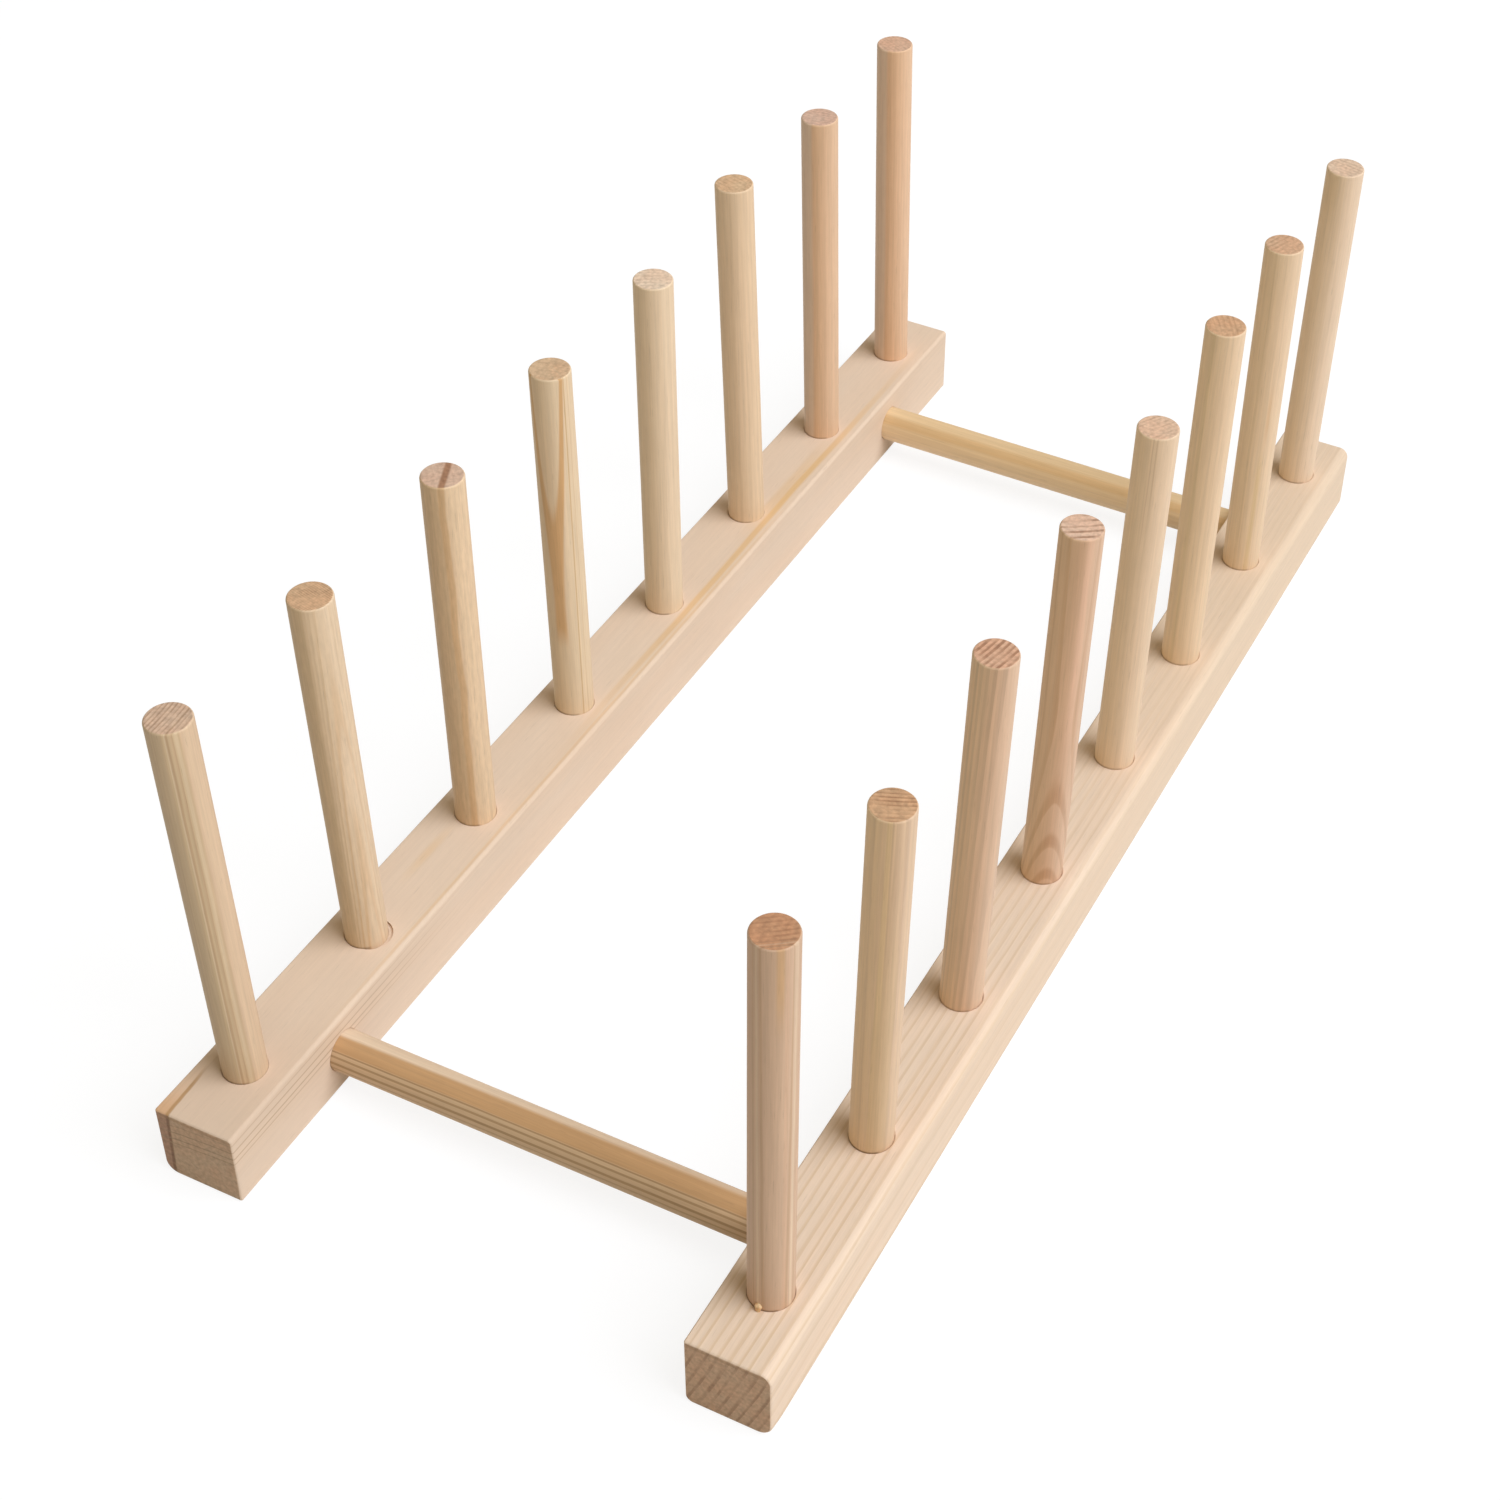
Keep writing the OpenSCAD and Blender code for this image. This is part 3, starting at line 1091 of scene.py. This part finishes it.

# %% [markdown]
# ## The pegs on the right
#
# These stand nearest to the camera and face the lamp. Straight lines run up the first
# two. The third is broadly striped, and the fourth has arches near its foot, as beside
# a knot. On all but the first, the side that looks away from the lamp is painted paler
# than plain shading would make it: painted fill light.

# %% The near pegs on the right
finishes["right_peg_1"] = dict(
    early=(0.615, 0.415, 0.292), late=brown_line, cut=(0.52, 0.285, 0.165), facing=-54,
    gap=1.15, first_ring=4.28, slope=0.0058, contrast=0.3, wave=0.15, uneven=0.0, seed=21.0,
    stains=[dict(colour=brown_line, amount=0.55, ring=(4.12, 4.40), soft=0.2),
            dict(colour=brown_line, amount=0.35, ring=(2.90, 3.10), soft=0.2),
            dict(pale_line, amount=0.35, ring=(3.50, 3.85), soft=0.2),
            dict(colour=(0.68, 0.42, 0.28), amount=0.35, strip=(-32, -0.4, 0.4)),
            dict(pale_line, amount=0.3, strip=(-11, -0.35, 0.35)),
            dict(colour=orange_line, amount=0.55, strip=(-46, -0.9, 0.5), height=(82, 120),
                 fade=16, soft=0.8)])
finishes["right_peg_2"] = dict(
    early=(0.685, 0.465, 0.28), late=brown_line, cut=(0.60, 0.37, 0.22), facing=-66, gap=1.05,
    first_ring=3.95, slope=0.004, contrast=0.4, end_contrast=1.3, wave=0.15, uneven=0.0,
    seed=22.0,
    stains=[dict(colour=brown_line, amount=0.5, ring=(3.90, 4.12), soft=0.2),
            dict(colour=olive_band, amount=0.6, strip=(-53, -2.1, 2.1), soft=0.4, wander=0.3,
                 height=(-10, 60), fade=50),
            dict(colour=(0.70, 0.48, 0.24), amount=0.5, strip=(-69, -0.55, 0.5),
                 height=(40, 120), fade=30),
            dict(colour=brown_line, amount=0.5, strip=(-62, -0.15, 0.15), height=(50, 120),
                 fade=20),
            dict(colour=brown_line, amount=0.5, strip=(-29, -0.3, 0.3), height=(58, 120),
                 fade=20),
            painted_fill_light, painted_lit_side])
finishes["right_peg_3"] = dict(
    early=(0.65, 0.41, 0.262), late=(0.44, 0.27, 0.17), cut=(0.655, 0.405, 0.28), facing=-12,
    gap=1.24, first_ring=0.47, slope=-0.014, late_share=0.5, contrast=1.0, wave=0.18,
    uneven=0.0, seed=23.0,
    stains=[dict(colour=(0.76, 0.46, 0.28), amount=0.5, strip=(-20, -0.8, 1.2),
                 height=(35, 90), fade=25, soft=1.2),
            painted_fill_light, painted_lit_side])
finishes["right_peg_4"] = dict(
    early=(0.62, 0.37, 0.228), late=(0.50, 0.25, 0.12), cut=(0.725, 0.51, 0.39), facing=-56,
    gap=1.82, first_ring=5.15, swell=0.0020, swell_top=56.0, slope=0.0143, late_share=0.36,
    late_softness=0.2, contrast=1.0, wave=0.22, uneven=0.0, seed=24.0,
    stains=[dict(colour=(0.80, 0.48, 0.32), amount=0.7, strip=(-42, -0.8, 0.8),
                 height=(45, 110), fade=30, soft=1.0),
            dict(arch_line, ring=(6.35, 6.90)),
            dict(arch_line, ring=(8.20, 8.75)),
            dict(arch_line, ring=(10.0, 10.6)),
            painted_fill_light, painted_lit_side])
print("finishes so far:", len(finishes))

# %% The far pegs on the right
# Weaker painted light: the far pegs' sides towards the lamp painted paler
far_painted_lit_side = dict(painted_lit_side, amount=0.2)
finishes["right_peg_5"] = dict(
    early=(0.765, 0.565, 0.39), late=tan_line, cut=(0.71, 0.495, 0.36), facing=150, gap=1.2,
    contrast=0.3, seed=25.0,
    stains=[dict(colour=brown_line, amount=0.5, strip=(-80, -0.15, 0.15), height=(70, 120),
                 fade=30, soft=0.2, wander=0.4, seed=3.0),
            dict(colour=brown_line, amount=0.4, strip=(-69, -0.15, 0.15), height=(78, 120),
                 fade=20, soft=0.2, wander=0.4, seed=7.0),
            painted_fill_light, far_painted_lit_side])
finishes["right_peg_6"] = dict(
    early=(0.775, 0.56, 0.365), late=tan_line, cut=(0.62, 0.383, 0.233), facing=30, gap=1.2,
    contrast=0.25, seed=26.0,
    stains=[dict(colour=(0.58, 0.42, 0.22), amount=0.5, strip=(-102, -0.45, 0.45), soft=0.6,
                 wander=0.4),
            painted_fill_light, far_painted_lit_side])
finishes["right_peg_7"] = dict(
    early=(0.78, 0.57, 0.38), late=tan_line, cut=(0.63, 0.407, 0.267), facing=-20, gap=1.3,
    contrast=0.25, seed=27.0,
    stains=[dict(colour=(0.54, 0.37, 0.21), amount=0.5, strip=(-93, -0.35, 0.25), soft=0.4,
                 wander=0.3),
            dict(colour=(0.72, 0.50, 0.24), amount=0.5, strip=(-56, -0.6, 0.6),
                 height=(-5, 35), fade=14, soft=0.7),
            dict(colour=orange_line, amount=0.4, strip=(-49, -0.4, 0.4), height=(42, 56),
                 fade=10, soft=0.5),
            painted_fill_light, far_painted_lit_side])
finishes["right_peg_8"] = dict(
    early=(0.785, 0.595, 0.435), late=tan_line, cut=(0.718, 0.53, 0.398), facing=80, gap=1.3,
    contrast=0.25, seed=28.0,
    stains=[dict(colour=tan_line, amount=0.6, strip=(-105, -3.0, 1.6), height=(84, 120),
                 fade=12, soft=1.0),
            painted_fill_light, far_painted_lit_side])
print("finishes so far:", len(finishes))

# %% Finish the pegs
# The painted shadow at the foot is darker on these two pegs
STRONG_FOOT_SHADOWS = ("right_peg_1", "right_peg_2")
for node, finish in finishes.items():
    foot_shadow = dict(painted_foot_shadow, amount=0.7 if node in STRONG_FOOT_SHADOWS else 0.4)
    finish["stains"].append(foot_shadow)
    pegs[node].data.materials.append(pine(node + "_pine", **finish))
print("finished pegs:", sum(len(peg.data.materials) for peg in pegs.values()))

# %% [markdown]
# ## The bars' wood
#
# The bars are yellower than the rails. The front bar has the boldest grain of all the
# sticks: pale on top, a broad orange-brown band facing the camera, and thin dark stripes
# below it. The rear bar is plain but for a faint orange streak along the middle, and its
# underside, which looks away from the lamp, is painted paler as painted fill light.
#
# Directions are in degrees round the bar: 0 looks to the back of the rack, 90 up.

# %% Finish the bars
bar_cut = (0.60, 0.38, 0.24)
front_bar_stains = [
    dict(colour=(0.52, 0.32, 0.15), amount=0.6, ring=(-6.0, 1.39)),
    dict(colour=(0.51, 0.265, 0.095), amount=0.8, ring=(1.39, 4.29), soft=0.6),
]
# Depth, half width and strength of each dark stripe
DARK_STRIPES = ((1.24, 0.16, 0.8), (0.1, 0.24, 0.7), (-1.45, 0.3, 0.75), (-2.8, 0.2, 0.5))
for depth, half, amount in DARK_STRIPES:
    front_bar_stains.append(dict(colour=(0.36, 0.21, 0.10), amount=amount,
                                 ring=(depth - half, depth + half), soft=0.15))
bars["front_bar"].data.materials.append(pine(
    "front_bar_pine", (0.78, 0.61, 0.455), (0.50, 0.32, 0.18), bar_cut, facing=55, gap=1.1,
    first_ring=0.69, slope=-0.0085, late_share=0.3, contrast=0.1, wave=0.25, uneven=0.0,
    seed=31.0, stains=front_bar_stains))
bars["rear_bar"].data.materials.append(pine(
    "rear_bar_pine", (0.79, 0.575, 0.345), (0.62, 0.40, 0.20), bar_cut, facing=100, gap=1.3,
    contrast=0.25, wave=0.4, blush=(0.80, 0.55, 0.30), seed=32.0,
    stains=[dict(colour=(0.68, 0.42, 0.19), amount=0.6, strip=(132, -1.3, 1.3), soft=1.4,
                 wander=0.3),
            # Painted fill light: the underside, away from the lamp, painted paler
            dict(colour=(1.0, 0.80, 0.60), amount=0.4, strip=(-90, -9, 9), turn=3.0)]))
print("bar finishes:", [bar.data.materials[0].name for bar in bars.values()])

# %% [markdown]
# ## The glue
#
# Wood glue dries to a slightly clear amber. The bead is tiny, so a warm colour that
# varies a little, a smoother surface than the wood's and some light passing under the
# surface are enough.

# %% Finish the bead of glue
DARK_AMBER = (0.64, 0.37, 0.16)
PALE_AMBER = (0.80, 0.57, 0.34)


def dried_glue():
    """Amber that is cloudy in places."""
    material, tree, shader = new_material("dried_glue")
    place = wood_place(tree)[0]
    cloudy = ease(tree, cloud(tree, place, (1.5, 1.5, 1.5), 5.0, 2.0), -0.4, 0.4)
    colour = blend_colours(tree, cloudy, DARK_AMBER, PALE_AMBER)
    feed(tree, shader.inputs["Base Color"], colour)
    feed(tree, shader.inputs["Roughness"], ease(tree, cloudy, 0.0, 1.0, 0.35, 0.5))
    feed(tree, shader.inputs["Normal"], raised(tree, cloudy, 0.4, 0.05 * MM))
    shader.inputs["Subsurface Weight"].default_value = 0.15
    shader.inputs["Subsurface Scale"].default_value = 0.4 * MM
    return material


bead.data.materials.append(dried_glue())
print("glue finish:", bead.data.materials[0].name)

# %% [markdown]
# ## Fasten everything to the frame
#
# Every piece rides on the rack's one body, and stands for the imported node that it
# follows. The normals are weighted by face area, so that the wide flat faces stay flat to
# the light and only the roundings bend it.

# %% Ride and replace
ROSY_PEGS = ("left_peg_7", "left_peg_8", "right_peg_1", "right_peg_3", "right_peg_4")


def fasten(piece, slot, *nodes):
    """Puts a piece on the frame, in place of the nodes that it stands for."""
    weighted = piece.modifiers.new("flat_faces_stay_flat", "WEIGHTED_NORMAL")
    weighted.keep_sharp = True
    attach(piece, "root")
    if nodes:
        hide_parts(*nodes)


for side, rail in rails.items():
    fasten(rail, "rail_pine", NAMES[side] + "_rail")
for node, peg in pegs.items():
    fasten(peg, "rosy_peg_pine" if node in ROSY_PEGS else "pale_peg_pine", node)
for node, bar in bars.items():
    fasten(bar, "bar_pine", node)
fasten(bead, "rail_pine")
print("fastened:", len(rails) + len(pegs) + len(bars) + 1, "pieces")

# %% [markdown]
# ## The floor
#
# The photograph has a plain white ground. The floor is a pale matt sheet that gives
# soft light back to the undersides of the wood. To the camera it shows as white, mostly
# by its own glow, with just enough of its real shading left to keep the rack's shadow.
# A light path node tells the two uses apart.

# %% Helpers for what the camera sees
def plain_shader(tree, kind, colour, strength=None):
    """A shader of one colour, with a strength if it gives light."""
    node = tree.nodes.new(kind)
    node.inputs["Color"].default_value = (*colour, 1.0)
    if strength is not None:
        node.inputs["Strength"].default_value = strength
    return node.outputs[0]


def seen_or_felt(tree, seen, felt):
    """One shader for what the camera sees, straight or in a gloss, another for all else."""
    rays = tree.nodes.new("ShaderNodeLightPath").outputs
    bent = reckon(tree, "MAXIMUM", rays["Is Glossy Ray"], rays["Is Transmission Ray"])
    choice = tree.nodes.new("ShaderNodeMixShader")
    to_the_eye = reckon(tree, "MAXIMUM", rays["Is Camera Ray"], bent)
    for socket, one in zip(choice.inputs, (to_the_eye, felt, seen)):
        tree.links.new(one, socket)
    return choice.outputs[0]


print("helpers for floor and sky are ready")

# %% Lay the floor
FLOOR_SIZE = 6.0
FLOOR_BELOW = 0.1 * MM
WHITE = (1.0, 1.0, 1.0)
FLOOR_COLOUR = (0.80, 0.79, 0.77)
SHADOW_SHARE = (0.18, 0.18, 0.19)
FLOOR_GLOW = 0.86


def lay_floor():
    mesh = bmesh.new()
    bmesh.ops.create_grid(mesh, x_segments=12, y_segments=12, size=FLOOR_SIZE / 2)
    floor = make_object("floor", mesh, Matrix.Translation((0, 0, -FLOOR_BELOW)))
    material, tree, shader = new_material("white_floor")
    tree.nodes.remove(shader)
    matt = plain_shader(tree, "ShaderNodeBsdfDiffuse", FLOOR_COLOUR)
    shaded = plain_shader(tree, "ShaderNodeBsdfDiffuse", SHADOW_SHARE)
    glow = plain_shader(tree, "ShaderNodeEmission", WHITE, FLOOR_GLOW)
    white = tree.nodes.new("ShaderNodeAddShader")
    for socket, one in zip(white.inputs, (shaded, glow)):
        tree.links.new(one, socket)
    surface = seen_or_felt(tree, white.outputs[0], matt)
    tree.links.new(surface, tree.nodes["Material Output"].inputs["Surface"])
    floor.data.materials.append(material)


lay_floor()
print("floor:", FLOOR_SIZE, "m square")

# %% [markdown]
# ## Light
#
# The light in the photograph comes from one large soft source on the right, somewhat
# above: the faces on that side are the brightest, the tops nearly as bright, and short
# soft shadows fall to the left of every peg. Both rails are equally bright, so the lamp
# is far away compared with the width of the rack. The shadow sides are about half as
# bright and warmer. One big square lamp and a weak, warm sky do the same. The sky is
# white to the camera, like the floor.

# %% Hang the lamp
# The lamp is straight to the right, at this angle above the table
LAMP_HEIGHT = math.radians(52)
LAMP_DISTANCE = 4.0

lamp_data = bpy.data.lights.new("soft_lamp", "AREA")
lamp_data.shape = "SQUARE"
lamp_data.size = 3.4
lamp_data.energy = 182.0
lamp_data.color = (0.89, 0.94, 1.0)
lamp = bpy.data.objects.new("soft_lamp", lamp_data)
toward = Vector((math.cos(LAMP_HEIGHT), 0.0, math.sin(LAMP_HEIGHT)))
lamp.location = toward * LAMP_DISTANCE
lamp.rotation_euler = toward.to_track_quat("Z", "Y").to_euler()
bpy.context.scene.collection.objects.link(lamp)
print("lamp:", LAMP_DISTANCE, "m away,", lamp_data.energy, "W")

# %% Light the sky
SKY_COLOUR = (1.0, 0.86, 0.53)
SKY_STRENGTH = 0.28

world = bpy.data.worlds.new("sky")
world.use_nodes = True
tree = world.node_tree
tree.nodes.remove(tree.nodes["Background"])
warm = plain_shader(tree, "ShaderNodeBackground", SKY_COLOUR, SKY_STRENGTH)
white = plain_shader(tree, "ShaderNodeBackground", WHITE, 1.0)
sky_output = tree.nodes["World Output"].inputs["Surface"]
tree.links.new(seen_or_felt(tree, white, warm), sky_output)
bpy.context.scene.world = world
bpy.context.scene.view_settings.view_transform = "Standard"
print("sky strength:", SKY_STRENGTH)
